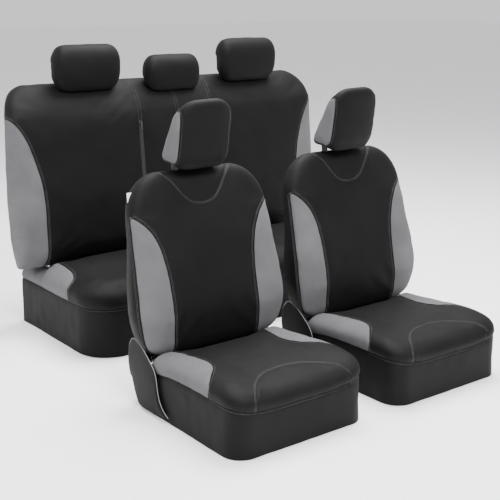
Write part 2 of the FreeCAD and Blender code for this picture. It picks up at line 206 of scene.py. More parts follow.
# ---- meshes from distances ----
def gradient(f, p, e=0.0004):
    """Value and slope of f at the points."""
    slope = np.empty_like(p)
    for axis in range(3):
        d = np.zeros(3)
        d[axis] = e
        slope[:, axis] = (f(p + d) - f(p - d)) / (2 * e)
    return f(p), slope


def settle(f, p, rounds=2):
    """Moves points onto the surface f = 0."""
    for _ in range(rounds):
        value, slope = gradient(f, p)
        p = p - slope * (value / np.maximum((slope ** 2).sum(1), 0.04))[:, None]
    return p


def edges_of(faces):
    """The directed edges of all faces: first edges first."""
    sides = faces.shape[1]
    return np.concatenate([faces[:, [i, (i + 1) % sides]] for i in range(sides)])


def skin(f, low, high, cell):
    """An even triangle mesh of the surface f = 0 inside the box from low to high."""
    axes = [np.arange(low[a] - cell * 1.5, high[a] + cell * 2.5, cell) for a in range(3)]
    grid = np.stack(np.meshgrid(*axes, indexing="ij"), -1)
    shape = grid.shape[:3]
    inside = (f(grid.reshape(-1, 3)) < 0).reshape(shape)
    count = sum(inside[i:shape[0] - 1 + i, j:shape[1] - 1 + j, k:shape[2] - 1 + k].astype(int)
                for i in (0, 1) for j in (0, 1) for k in (0, 1))
    mixed = (count > 0) & (count < 8)
    number = np.full(mixed.shape, -1)
    number[mixed] = np.arange(mixed.sum())
    p = grid[:-1, :-1, :-1][mixed] + cell / 2
    quads = []
    for axis in range(3):
        b, c = (axis + 1) % 3, (axis + 2) % 3
        first = np.moveaxis(inside, (axis, b, c), (0, 1, 2))
        cells = np.moveaxis(number, (axis, b, c), (0, 1, 2))
        flip = first[:-1, 1:-1, 1:-1] != first[1:, 1:-1, 1:-1]
        outward = first[:-1, 1:-1, 1:-1][flip]
        part = (slice(None, -1), slice(1, None))
        ring = np.stack([cells[:, part[i], part[j]][flip] for i, j in ((0, 0), (1, 0), (1, 1), (0, 1))], -1)
        quads.append(np.where(outward[:, None], ring, ring[:, ::-1]))
    quads = np.concatenate(quads)
    edges = np.unique(np.sort(edges_of(quads), 1), axis=0)
    degree = np.bincount(edges.ravel(), minlength=len(p))[:, None]
    p = settle(f, p, 3)
    for _ in range(6):
        around = np.zeros_like(p)
        np.add.at(around, edges[:, 0], p[edges[:, 1]])
        np.add.at(around, edges[:, 1], p[edges[:, 0]])
        p = settle(f, p + 0.6 * (around / degree - p), 1)
    p = settle(f, p, 1)
    short = (np.linalg.norm(p[quads[:, 0]] - p[quads[:, 2]], axis=1)
             < np.linalg.norm(p[quads[:, 1]] - p[quads[:, 3]], axis=1))[:, None]
    one = np.where(short, quads[:, [0, 1, 2]], quads[:, [1, 2, 3]])
    two = np.where(short, quads[:, [0, 2, 3]], quads[:, [1, 3, 0]])
    return p, np.concatenate([one, two])


class Cover:
    """A closed form cut into panels and stuffed: points, triangles and the panel each belongs to."""

    def __init__(self, f, low, high, cell, cuts, held=(), grooves=None):
        """Cuts are a distance for each panel's name; the seams and the held panels are not stuffed."""
        self.f = f
        self.cell = cell
        self.p, self.t = skin(f, low, high, cell)
        self.panel = np.zeros(len(self.t), int)
        self.names = ["rest"]
        for name, g in cuts.items():
            self.cut(name, g)
        self.home = self.p.copy()
        marks = self.seam_points(grooves)
        self.stuff(marks, held)
        self.pull_in(marks)
        drift = sum(height * wobble(self.home, size, seed) for height, size, seed in DRIFT)
        self.p += self.normals() * drift[:, None]
        self.tree = tree_of(self.home)

    def cut(self, name, g):
        """Splits off the part of the rest where g(x, y, z) < 0 as a new panel."""
        self.names.append(name)
        new = len(self.names) - 1
        value, slope = gradient(lambda p: g(*p.T), self.p)
        near = np.abs(value) < 0.22 * self.cell
        shift = slope[near] * (value[near] / np.maximum((slope[near] ** 2).sum(1), 0.25))[:, None]
        self.p[near] -= shift
        self.p[near] = settle(self.f, self.p[near], 1)
        value[near] = 0
        rest = self.panel == 0
        sign = np.sign(value).astype(int)
        corner = sign[self.t]
        across = rest & (corner.min(1) < 0) & (corner.max(1) > 0)
        self.panel[rest & (corner.max(1) <= 0) & (corner.min(1) < 0)] = new
        tris, labels = [self.t[~across]], [self.panel[~across]]
        points, made, fresh = [], {}, []

        def crossing(a, b):
            key = (min(a, b), max(a, b))
            if key not in made:
                u = value[a] / (value[a] - value[b])
                made[key] = len(self.p) + len(points)
                points.append(self.p[a] * (1 - u) + self.p[b] * u)
            return made[key]

        for row in np.nonzero(across)[0]:
            tri, side = self.t[row], corner[row]
            zero = np.nonzero(side == 0)[0]
            if len(zero):
                z = zero[0]
                a, b, c = tri[z], tri[(z + 1) % 3], tri[(z + 2) % 3]
                m = crossing(b, c)
                pieces = [((a, b, m), side[(z + 1) % 3]), ((a, m, c), side[(z + 2) % 3])]
            else:
                z = int(np.nonzero(side == -side.sum())[0][0])
                a, b, c = tri[z], tri[(z + 1) % 3], tri[(z + 2) % 3]
                m, n = crossing(a, b), crossing(a, c)
                pieces = [((a, m, n), side[z]), ((m, b, c), -side[z]), ((m, c, n), -side[z])]
            fresh += [(piece, new if way < 0 else 0) for piece, way in pieces]
        if fresh:
            tris.append(np.array([f[0] for f in fresh]))
            labels.append(np.array([f[1] for f in fresh]))
            self.p = np.concatenate([self.p, settle(self.f, np.array(points), 1)])
        self.t = np.concatenate(tris)
        self.panel = np.concatenate(labels)

    def normals(self):
        a, b, c = (self.p[self.t[:, i]] for i in range(3))
        face = np.cross(b - a, c - a)
        total = np.zeros_like(self.p)
        for i in range(3):
            np.add.at(total, self.t[:, i], face)
        return unit(total)

    def seam(self, one, other):
        """The lines where two panels meet, as lists of points spaced along them."""
        pair = [self.names.index(one), self.names.index(other)]
        owner = {}
        lines = []
        for label in pair:
            for tri in self.t[self.panel == label]:
                for i in range(3):
                    a, b = tri[i], tri[(i + 1) % 3]
                    key = (min(a, b), max(a, b))
                    if label == pair[0]:
                        owner[key] = (a, b)
                    elif key in owner:
                        lines.append(owner[key])
        return [self.home[chain] for chain in chains(lines) if len(chain) > 6]

    def follow(self, points):
        """Points that lay on the plain form, moved as the cloth around them was."""
        moved = []
        for point in points:
            near = self.tree.find_n(point, 4)
            weight = np.array([1 / (found[2] + 1e-4) for found in near])
            shift = sum(w * (self.p[found[1]] - self.home[found[1]]) for w, found in zip(weight, near))
            moved.append(point + shift / weight.sum())
        return np.array(moved)

    def seam_points(self, grooves):
        """Points all along the seams between panels, and along any grooves sewn besides."""
        order = np.sort(edges_of(self.t), 1)
        label = np.tile(self.panel, 3)
        index = np.lexsort((label, order[:, 1], order[:, 0]))
        order, label = order[index], label[index]
        same = (order[1:] == order[:-1]).all(1) & (label[1:] != label[:-1])
        hem = [i for i, name in enumerate(self.names) if name == "below"]
        same &= ~np.isin(label[1:], hem) & ~np.isin(label[:-1], hem)
        ends = order[1:][same]
        marks = np.concatenate([self.p[ends[:, 0]], self.p[ends[:, 1]], self.p[ends].mean(1)])
        if grooves is not None:
            marks = np.concatenate([marks, grooves])
        return marks

    def stuff(self, marks, held):
        """Cloth simulation fills the cover between its seams; the held panels and the seams stay."""
        fixed = np.zeros(len(self.p))
        fixed[self.t[np.isin(self.panel, [self.names.index(name) for name in held])].ravel()] = 1
        hold = np.maximum(fixed, np.clip(1.4 - nearest(self.p, marks, 0.03) / 0.012, 0, 1))
        start = self.p - self.normals() * (STUFF_SLACK * (1 - hold))[:, None]
        doll = new_object("stuffing", start, self.t, LOOKS["seat_foam"])
        group = doll.vertex_groups.new(name="held")
        for i in np.nonzero(hold)[0]:
            group.add([int(i)], float(hold[i]), "REPLACE")
        cloth = doll.modifiers.new("cloth", "CLOTH")
        cloth.settings.vertex_group_mass = "held"
        cloth.settings.use_pressure = True
        cloth.settings.uniform_pressure_force = STUFF_PRESSURE
        cloth.settings.effector_weights.gravity = 0
        cloth.settings.quality = STUFF_QUALITY
        cloth.point_cache.frame_end = STUFF_FRAMES
        for step in range(1, STUFF_FRAMES + 1):
            bpy.context.scene.frame_set(step)
        blown = doll.evaluated_get(bpy.context.evaluated_depsgraph_get()).data
        after = np.zeros(len(self.p) * 3)
        blown.vertices.foreach_get("co", after)
        bpy.data.objects.remove(doll)
        bpy.context.scene.frame_set(1)
        shift = after.reshape(-1, 3) - self.p
        far = np.linalg.norm(shift, axis=1)
        shift *= (STUFF_REACH * np.tanh(far / STUFF_REACH) / np.maximum(far, 1e-9))[:, None]
        edges = edges_of(self.t)
        degree = np.maximum(np.bincount(edges[:, 0], minlength=len(self.p)), 1)[:, None]
        for _ in range(3):
            around = np.zeros_like(shift)
            np.add.at(around, edges[:, 0], shift[edges[:, 1]])
            shift = (shift + around / degree) / 2
        self.p += shift

    def pull_in(self, marks):
        """Sinks the fabric along its seams, with small puckers beside them."""
        near = nearest(self.p, marks, 4 * SEAM_WIDTH)
        normal = self.normals()
        pucker = 1 + 0.35 * wobble(self.p, 0.022, 5)
        self.p -= normal * (SEAM_DEPTH * np.exp(-(near / SEAM_WIDTH) ** 2) * pucker)[:, None]
        fold = PUCKER * bump(near, PUCKER_PLACE, PUCKER_WIDTH) * wobble(self.p, 0.03, 9)
        self.p += normal * fold[:, None]


def tree_of(points):
    """A search tree of the points."""
    tree = KDTree(len(points))
    for i, point in enumerate(points):
        tree.insert(point, i)
    tree.balance()
    return tree


def nearest(p, marks, reach):
    """Distance from each point to the nearest mark, or twice reach where it is far."""
    tree = tree_of(marks)
    low, high = marks.min(0) - reach, marks.max(0) + reach
    out = np.full(len(p), 2 * reach)
    for i in np.nonzero(((p > low) & (p < high)).all(1))[0]:
        out[i] = min(tree.find(p[i])[2], 2 * reach)
    return out


def chains(lines):
    """Joins directed edges (a, b) into long runs of points."""
    after, before = {}, {}
    for a, b in lines:
        after.setdefault(a, []).append(b)
        before.setdefault(b, []).append(a)
    found = []
    starts = [a for a in after if a not in before] + list(after)
    for start in starts:
        while after.get(start):
            run = [start]
            while after.get(run[-1]):
                run.append(after[run[-1]].pop())
            found.append(run)
    return found


def resample(line, step, loose):
    """The line evenly spaced, with its small kinks smoothed away in loose rounds."""
    line = np.array(line, float)
    for _ in range(loose):
        line[1:-1] = (line[:-2] + 2 * line[1:-1] + line[2:]) / 4
    length = np.concatenate([[0], np.cumsum(np.linalg.norm(np.diff(line, axis=0), axis=1))])
    count = max(int(length[-1] / step), 2)
    at = np.linspace(0, length[-1], count + 1)
    return np.stack([np.interp(at, length, line[:, i]) for i in range(3)], 1)


# ---- Blender objects ----
def new_object(name, points, faces, material):
    mesh = bpy.data.meshes.new(name)
    mesh.from_pydata([tuple(p) for p in points], [], [tuple(int(i) for i in f) for f in faces])
    mesh.materials.append(material)
    mesh.polygons.foreach_set("use_smooth", [True] * len(mesh.polygons))
    mesh.set_sharp_from_angle(angle=math.radians(SMOOTH_ANGLE))
    mesh.update()
    obj = bpy.data.objects.new(name, mesh)
    bpy.context.scene.collection.objects.link(obj)
    return obj


def shell(points, tris, normal):
    """Closes an open sheet of triangles with a second face under it and a rim."""
    used, flat = np.unique(tris, return_inverse=True)
    tris = flat.reshape(-1, 3)
    outer = points[used]
    inner = outer - normal[used] * SHELL
    count = len(outer)
    keys = {(a, b) for a, b in edges_of(tris).tolist()}
    rim = [(a, b) for a, b in keys if (b, a) not in keys]
    faces = tris.tolist() + (tris[:, ::-1] + count).tolist()
    faces += [(b, a, a + count, b + count) for a, b in rim]
    return np.concatenate([outer, inner]), faces


def frames_along(line, f):
    """Outward normal and sideways direction along a line on the surface f = 0."""
    tangent = unit(np.gradient(line, axis=0))
    normal = unit(gradient(f, line)[1])
    return normal, unit(np.cross(tangent, normal))


def loft(rings):
    """Points and faces of a closed bar through rings of points."""
    count, sides = rings.shape[:2]
    faces = []
    for i in range(count - 1):
        for j in range(sides):
            k = (j + 1) % sides
            faces.append((i * sides + j, i * sides + k, (i + 1) * sides + k, (i + 1) * sides + j))
    faces.append(tuple(range(sides))[::-1])
    faces.append(tuple((count - 1) * sides + j for j in range(sides)))
    return rings.reshape(-1, 3), faces


def tube(line, radius, normal, lift=0.0):
    """A round cord along a line, raised by lift along its normals."""
    tangent = unit(np.gradient(line, axis=0))
    side = unit(np.cross(tangent, normal))
    up = np.cross(tangent, side)
    angles = np.arange(CORD_SIDES) / CORD_SIDES * 2 * math.pi
    centre = line + normal * lift
    return loft(np.stack([centre + radius * (math.cos(a) * side + math.sin(a) * up) for a in angles], 1))


def sheet(front, back):
    """Closes two grids of points into one thin solid: before the front one, rows run right, stacked up."""
    rows, columns = front.shape[:2]
    total = rows * columns
    faces = []
    for i in range(rows - 1):
        for j in range(columns - 1):
            a, d = i * columns + j, i * columns + j + 1
            b, c = a + columns, d + columns
            faces += [(a, d, c, b), (a + total, b + total, c + total, d + total)]
    edge = list(range(columns)) + [(i + 1) * columns - 1 for i in range(1, rows)]
    edge += [total - 1 - j for j in range(1, columns)] + [i * columns for i in range(rows - 2, 0, -1)]
    faces += [(b, a, a + total, b + total) for a, b in zip(edge, edge[1:] + edge[:1])]
    return np.concatenate([front.reshape(-1, 3), back.reshape(-1, 3)]), faces


def stitches(line, cover, offset, lift=STITCH_LIFT):
    """A row of separate stitches beside a line on a cover."""
    _, side = frames_along(line, cover.f)
    row = resample(settle(cover.f, line + side * offset, 1), STITCH_LENGTH + STITCH_GAP, 1)
    normal, side = frames_along(row, cover.f)
    row = cover.follow(row)
    points, faces = [], []
    for i in range(len(row) - 1):
        a, b = row[i], row[i] + (row[i + 1] - row[i]) * (STITCH_LENGTH / (STITCH_LENGTH + STITCH_GAP))
        n, s = normal[i], side[i]
        base = len(points)
        points.append(a + n * lift)
        for t, fat in STITCH_RINGS:
            middle = a + (b - a) * t + n * lift
            r = STITCH_RADIUS * fat
            points += [middle + s * r, middle + n * r * 1.2, middle - s * r, middle - n * r]
        points.append(b + n * lift)
        last = base + 13
        for k in range(4):
            j = (k + 1) % 4
            faces.append((base, base + 1 + k, base + 1 + j))
            for ring in (1, 5):
                faces.append((base + ring + j, base + ring + k, base + ring + 4 + k, base + ring + 4 + j))
            faces.append((base + 9 + j, base + 9 + k, last))
    return np.array(points), faces


def merged(parts):
    """Several (points, faces) as one."""
    points, faces, base = [], [], 0
    for p, f in parts:
        points.append(p)
        faces += [tuple(i + base for i in face) for face in f]
        base += len(p)
    return np.concatenate(points), faces


# ---- forms: each is the distance to one stuffed shape, in its seat's own frame ----
FRONT_HALF, FRONT_DEPTH, FRONT_CORNER = 0.2430, 0.4925, 0.062        # skirt
FRONT_PIVOT, FRONT_ROUND = (0.487, 0.215), 0.066
BENCH_HALF, BENCH_DEPTH, BENCH_CORNER = 0.616, 0.5755, 0.12
BENCH_PIVOT, BENCH_ROUND = (0.466, 0.330), 0.091
BENCH_RESTS = {"left": (-0.366, 0.157, 0.872, 1.058), "middle": (0.006, 0.144, 0.842, 1.010),
               "right": (0.374, 0.160, 0.872, 1.062)}

side_seam = curve((0.0, 0.142), (0.05, 0.148), (0.16, 0.149), (0.30, 0.147), (0.37, 0.139), (0.42, 0.131))
front_middle = curve((0.0, 0.172), (0.04, 0.185), (0.09, 0.193), (0.15, 0.198), (0.25, 0.196), (0.34, 0.190),
                     (0.410, 0.182), (0.433, 0.140), (0.47, 0.133))
front_crest = curve((0.0, 0.182), (0.05, 0.198), (0.09, 0.206), (0.17, 0.209), (0.25, 0.203), (0.34, 0.196),
                    (0.412, 0.192), (0.430, 0.160), (0.46, 0.138))
front_face = curve((0.10, 0.421), (0.215, 0.421), (0.27, 0.422), (0.31, 0.427), (0.38, 0.442), (0.48, 0.467),
                   (0.57, 0.487), (0.64, 0.504), (0.70, 0.522), (0.74, 0.537))
front_rear = curve((0.10, 0.553), (0.30, 0.553), (0.45, 0.573), (0.60, 0.592), (0.74, 0.600))
front_narrow = curve((0.15, 0.046), (0.17, 0.029), (0.20, 0.002), (0.25, -0.020), (0.31, -0.0285),
                     (0.38, -0.025), (0.45, -0.018), (0.53, -0.010), (0.60, -0.004), (0.66, 0.0))
front_turn = curve((0.215, 0.482), (0.30, 0.490), (0.50, 0.510), (0.60, 0.531), (0.74, 0.560))
rest_face = curve((0.735, 0.486), (0.76, 0.475), (0.80, 0.468), (0.87, 0.459), (0.92, 0.453), (0.95, 0.456))
rest_rear = curve((0.735, 0.606), (0.76, 0.593), (0.80, 0.570), (0.87, 0.528), (0.93, 0.498), (0.95, 0.490))
rest_floor = curve((0.47, 0.714), (0.51, 0.719), (0.545, 0.7275), (0.61, 0.7285))
bench_top = curve((0.0, 0.236), (0.04, 0.249), (0.10, 0.257), (0.20, 0.264), (0.30, 0.271), (0.362, 0.274),
                  (0.388, 0.244), (0.42, 0.232), (0.60, 0.232))
bench_face = curve((0.20, 0.375), (0.33, 0.375), (0.47, 0.375), (0.59, 0.386), (0.69, 0.3945), (0.77, 0.401),
                   (0.80, 0.404), (0.83, 0.416), (0.87, 0.442), (0.914, 0.472), (0.95, 0.496), (0.98, 0.512))
bench_rear = curve((0.20, 0.557), (0.45, 0.557), (0.98, 0.566))


def under_plan(x, y, half, corner, rear):
    """Distance to the plan of a seat with rounded front corners."""
    return smax(rounded_box(x, -y, half, 0.0, corner), y - rear, 0.010)


def front_seam(x, y):
    """Height of the skirt's seam: it dips a little across the front and towards the rear."""
    return side_seam(y) - 0.013 * (1 - step_up(np.abs(x), 0.10, 0.24)) * (1 - step_up(y, 0.02, 0.08))


def front_cushion(p):
    """Cushion and skirt: side bolsters, a swell over the skirt's seam, and a dip under the back."""
    x, y, z = p.T
    seam = front_seam(x, y)
    swell = 0.0105 * np.sin(math.pi * np.clip((z - seam) / 0.075, 0, 1))
    flare = 0.0022 * np.clip(1 - z / seam, 0, 1)
    side = under_plan(x, y, FRONT_HALF, FRONT_CORNER, FRONT_DEPTH) - swell - flare
    bolster = step_up(np.abs(x), 0.10, 0.20)
    top = front_middle(y) + (front_crest(y) - front_middle(y)) * bolster
    return smax(side, 0.95 * (z - top), 0.050 - 0.032 * step_up(y, 0.42, 0.465))


def front_back(p):
    """Back with side wings, round shoulders and a round underside about its hinge."""
    x, y, z = p.T
    a = np.abs(x)
    wing = 0.012 * bump(a, 0.205, 0.055) * step_up(z, 0.215, 0.29) * (1 - step_up(z, 0.48, 0.62))
    face = front_face(z) - wing + 0.006 * bump(a, 0, 0.10) * bump(z, 0.40, 0.14)
    slab = smax(0.96 * (face - y), y - front_rear(z), 0.03)
    low = np.hypot(y - FRONT_PIVOT[0], z - FRONT_PIVOT[1]) - FRONT_ROUND
    slab = np.where(z < FRONT_PIVOT[1], low, slab)
    view = rounded_box(x, z, 0.2580, FRONT_TOP - 0.011, 0.128) + front_narrow(z)
    turned = (view + 0.62 * (y - front_turn(z))) / 1.177
    return smax(slab, smax(view, turned, 0.03), 0.048)


def front_headrest(p):
    """Wedge-shaped headrest leaning forward over the back."""
    x, y, z = p.T
    face = rest_face(z) + 0.007 * (x / 0.1) ** 2
    slab = smax(face - y, 0.86 * (y - rest_rear(z)), 0.035)
    view = rounded_box(x, z, 0.1125, 0.949, 0.080) + 0.004 * (1 - step_up(z, 0.735, 0.86))
    low = rounded_box(x, -z, 0.112, -rest_floor(y), 0.055)
    return smax(smax(slab, view, 0.055), low, 0.018)


def bench_cushion(p):
    """Long cushion and skirt with one swell over the skirt's seam."""
    x, y, z = p.T
    swell = 0.012 * np.sin(math.pi * np.clip((z - BENCH_SEAM) / 0.10, 0, 1))
    flare = 0.0022 * np.clip(1 - z / BENCH_SEAM, 0, 1)
    fuller = 0.0020 * step_up(y, 0.48, 0.56)
    side = under_plan(x, y, BENCH_HALF, BENCH_CORNER, BENCH_DEPTH) - swell - flare - fuller
    sag = 0.006 * bump(np.abs(x) - 0.30, 0, 0.20) * bump(y, 0.22, 0.12)
    return smax(side, 0.97 * (z - bench_top(y) + sag), 0.075)


def bench_back(p):
    """Bench back: broad sides that turn back towards the rear, soft shoulders, a round underside."""
    x, y, z = p.T
    face = bench_face(z)
    slab = smax(0.94 * (face - y), y - bench_rear(z), 0.03)
    low = np.hypot(y - BENCH_PIVOT[0], z - BENCH_PIVOT[1]) - BENCH_ROUND
    slab = np.where(z < BENCH_PIVOT[1], low, slab)
    narrow = 0.012 * (1 - step_up(z, 0.24, 0.40)) + 0.004 * step_up(z, 0.6, 0.9)
    view = rounded_box(x, z, 0.724, 0.972, 0.135) + narrow
    turned = (view + 0.46 * (y - 0.405)) / 1.10
    return smax(slab, smax(view, turned, 0.03), 0.026 + 0.034 * step_up(z, 0.25, 0.42))


def bench_headrest(middle, half, low, high):
    """A pillow-shaped headrest that hangs in front of the crest of the bench back."""
    centre = (low + high) / 2 + 0.015

    def form(p):
        x, y, z = p.T
        x = x - middle
        v = (z - centre) / (high - low) * 2
        face = 0.404 + 0.020 * v ** 2 + 0.008 * (x / half) ** 2
        slab = smax(face - y, y - 0.530, 0.08)
        top = rounded_box(x, z, half + 0.005, high + 0.010, 0.078)
        bottom = rounded_box(x, -z, half + 0.002, 0.008 - low, 0.082)
        turned = (top + 0.85 * (y - 0.455)) / 1.312
        pillow = smax(smax(slab, smax(top, turned, 0.03), 0.060), bottom, 0.055)
        behind = np.minimum(bench_face(np.maximum(z, 0.80)) - 0.006, 0.480)
        notch = np.minimum(y - behind, 0.984 - z)
        return smax(pillow, notch, 0.014)
    return form


# ---- materials ----
class Look:
    """A node material on the object's own coordinates."""

    def __init__(self, name, roughness, metallic=0.0, sheen=0.0, gloss=0.3):
        self.material = bpy.data.materials.new(name)
        self.material.use_nodes = True
        self.tree = self.material.node_tree
        self.shader = self.tree.nodes["Principled BSDF"]
        self.place = self.add("TexCoord").outputs["Object"]
        values = {"Roughness": roughness, "Metallic": metallic, "Sheen Weight": sheen,
                  "Sheen Roughness": 0.45, "Specular IOR Level": 0.5 if metallic else gloss}
        for name, value in values.items():
            self.shader.inputs[name].default_value = value

    def feed(self, socket, value):
        """Joins a socket to another node's output, or sets it to a number."""
        if isinstance(value, bpy.types.NodeSocket):
            self.tree.links.new(value, socket)
        else:
            socket.default_value = value

    def add(self, kind, **values):
        node = self.tree.nodes.new("ShaderNode" + kind)
        for name, value in values.items():
            self.feed(node.inputs[name], value)
        return node

    def texture(self, kind, stretch=(1, 1, 1), **values):
        """A texture node of this kind, stretched along the axes."""
        mapping = self.add("Mapping", Scale=stretch, Vector=self.place)
        return self.add("Tex" + kind, Vector=mapping.outputs["Vector"], **values)

    def noise(self, scale, detail=3.0, stretch=(1, 1, 1)):
        return self.texture("Noise", stretch, Scale=scale, Detail=detail).outputs["Fac"]

    def bands(self, pitch, stretch=(1, 1, 1), direction="DIAGONAL", wander=0.0):
        """Soft ridges this far apart."""
        node = self.texture("Wave", stretch, Scale=2 * math.pi / (20 * pitch), Distortion=wander)
        node.bands_direction = direction
        return node.outputs["Fac"]

    def combine(self, operation, *values):
        node = self.add("Math")
        node.operation = operation
        for socket, value in zip(node.inputs, values):
            self.feed(socket, value)
        return node.outputs["Value"]

    def total(self, *parts):
        """The sum of (amount, weight) parts."""
        result = None
        for amount, weight in parts:
            if weight != 1:
                amount = self.combine("MULTIPLY", amount, weight)
            result = self.combine("ADD", result, amount) if result else amount
        return result

    def colours(self, amount, *stops):
        """Colours the surface by an amount through (place, colour) stops."""
        ramp = self.add("ValToRGB", Fac=amount)
        elements = ramp.color_ramp.elements
        elements[0].position, elements[0].color = stops[0][0], (*stops[0][1], 1)
        elements[1].position, elements[1].color = stops[-1][0], (*stops[-1][1], 1)
        for position, colour in stops[1:-1]:
            elements.new(position).color = (*colour, 1)
        self.feed(self.shader.inputs["Base Color"], ramp.outputs["Color"])

    def raised(self, height, strength, distance):
        """Fine relief; gives the finished material."""
        node = self.add("Bump", Strength=strength, Distance=distance, Height=height)
        self.feed(self.shader.inputs["Normal"], node.outputs["Normal"])
        return self.material


def grey_tone(value, tint=(0.985, 1.0, 1.03)):
    return tuple(value * t for t in tint)


def knit(name, dark, light, pitch=0.0019, sheen=0.35, roughness=0.88):
    """Knitted polyester: crossed fine ribs, a melange of lighter fibres and soft clouds of wear."""
    look = Look(name, roughness, sheen=sheen, gloss=0.12)
    one = look.bands(pitch, wander=0.6)
    two = look.bands(pitch, stretch=(1, 1, -1), wander=0.6)
    weave = look.combine("MULTIPLY", one, two)
    fibre = look.noise(1400, 2)
    cloud = look.noise(9, 4)
    look.colours(look.total((cloud, 0.5), (fibre, 0.3), (weave, 0.25)), (0.30, dark), (0.68, light))
    return look.raised(look.total((weave, 1), (fibre, 0.6)), 0.35, 0.0005)


def thread_look(name, dark, light):
    """Twisted sewing thread."""
    look = Look(name, 0.7, sheen=0.2)
    twist = look.bands(0.0007, wander=1.0)
    look.colours(look.total((twist, 0.6), (look.noise(300), 1)), (0.35, dark), (1.0, light))
    return look.raised(twist, 0.5, 0.0002)


def metal_look(name, colour, roughness, brush):
    """Metal with fine brushing and slightly uneven gloss."""
    look = Look(name, roughness, metallic=1.0)
    streak = look.noise(260, 4, stretch=brush)
    look.colours(streak, (0.25, tuple(c * 0.88 for c in colour)), (0.8, colour))
    return look.raised(streak, 0.15, 0.0001)


def plastic_look(name, dark, light, roughness):
    """Moulded plastic with a fine leather-like grain."""
    look = Look(name, roughness)
    look.colours(look.noise(30), (0.3, dark), (0.8, light))
    return look.raised(look.texture("Voronoi", Scale=900).outputs["Distance"], 0.3, 0.0002)


def plywood_look():
    """Birch plywood: long grain, darker at the rings."""
    look = Look("plywood_look", 0.55)
    rings = look.bands(0.018, stretch=(0.15, 1, 1), direction="Z", wander=6.0)
    grain = look.noise(130, 5, stretch=(0.06, 1, 1))
    look.colours(look.total((rings, 0.4), (grain, 0.6)), (0.2, (0.34, 0.23, 0.13)), (0.5, (0.50, 0.37, 0.23)),
                 (0.8, (0.60, 0.47, 0.32)))
    return look.raised(grain, 0.2, 0.0003)


def elastic_look():
    """Ribbed elastic webbing."""
    look = Look("elastic_look", 0.8, sheen=0.2)
    ribs = look.bands(0.0024)
    look.colours(ribs, (0.2, (0.018, 0.018, 0.019)), (0.9, (0.06, 0.06, 0.062)))
    return look.raised(ribs, 0.6, 0.0005)


COOL = (1.0, 0.98, 1.05)                # tint of the grey cloth
BLACK = knit("black_knit", grey_tone(0.0014), grey_tone(0.0046), sheen=0.015, roughness=0.64)
THREAD = thread_look("thread_look", grey_tone(0.04), grey_tone(0.12))
SILVER = thread_look("silver_piping", grey_tone(0.10), grey_tone(0.22))
LOOKS = {"black_fabric": BLACK,
         "grey_fabric": knit("grey_knit", grey_tone(0.072, COOL), grey_tone(0.118, COOL), sheen=0.04),
         "seat_foam": knit("foam_look", (0.45, 0.41, 0.30), (0.66, 0.62, 0.50), pitch=0.004),
         "plywood": plywood_look(),
         "steel": metal_look("steel_look", (0.62, 0.63, 0.64), 0.22, (1, 1, 0.05)),
         "black_plastic": plastic_look("plastic_look", grey_tone(0.012), grey_tone(0.03), 0.45),
         "zip_tape": knit("zip_tape_look", grey_tone(0.008), grey_tone(0.022), pitch=0.0013, sheen=0.15),
         "zip_metal": metal_look("zip_metal_look", (0.12, 0.12, 0.125), 0.38, (0.1, 1, 1)),
         "elastic": elastic_look(),
         "label": knit("label_look", (0.72, 0.72, 0.71), (0.90, 0.90, 0.89), pitch=0.0009, sheen=0.1)}

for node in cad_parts.values():
    for place_in_mesh in node.material_slots:
        place_in_mesh.material = LOOKS[place_in_mesh.material.name.split(".")[0]]


# ---- making pieces ----
def riding(points, faces, name, slot, place, body, look=None):
    """A piece moved to its seat's place, riding on a body; its own look may differ from its slot's."""
    piece = new_object(name, points + place, faces, look or LOOKS[slot])
    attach(piece, body)
    return piece


GREY_PANELS = ("wedge", "wing", "side", "corner")


def sew(covers, panels, prefix, place, bodies):
    """The named panels of some covers as padded pieces that stand for CAD nodes."""
    for part, panel, name, *nodes in panels:
        cover = covers[part]
        slot = "grey_fabric" if panel in GREY_PANELS else "black_fabric"
        rows = cover.t[cover.panel == cover.names.index(panel)]
        points, faces = shell(cover.p, rows, cover.normals())
        piece = riding(points, faces, prefix + name + "_cloth", slot, place, bodies[part])
        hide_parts(*(prefix + node for node in nodes))


def edge(thread, cords, prefix, place, body):
    """The stitching and the piping of a cover, one piece each."""
    if thread:
        riding(*merged(thread), prefix + "_stitching", "grey_fabric", place, body, THREAD)
    riding(*merged(cords), prefix + "_piping", "black_fabric", place, body)


def topstitch(cover, one, other, offsets):
    """Rows of topstitching on the second panel, beside its seam with the first."""
    rows = []
    for line in cover.seam(one, other):
        line = resample(line, 0.004, 12)
        if len(line) > 8:
            rows += [stitches(line, cover, offset) for offset in offsets]
    return rows


def welt(cover, one, other):
    """A corded edge in the seam of two panels."""
    cords = []
    for line in cover.seam(one, other):
        line = resample(line, 0.005, 12)
        if len(line) > 6:
            normal, _ = frames_along(line, cover.f)
            cords.append(tube(cover.follow(line), WELT_RADIUS, normal, WELT_LIFT))
    return cords


def seam_parts(cover, rows, corded):
    """Thread for seams given as (panel, panel, offsets), and cords for seams given as (panel, panel)."""
    thread = [part for row in rows for part in topstitch(cover, *row)]
    return thread, [part for pair in corded for part in welt(cover, *pair)]


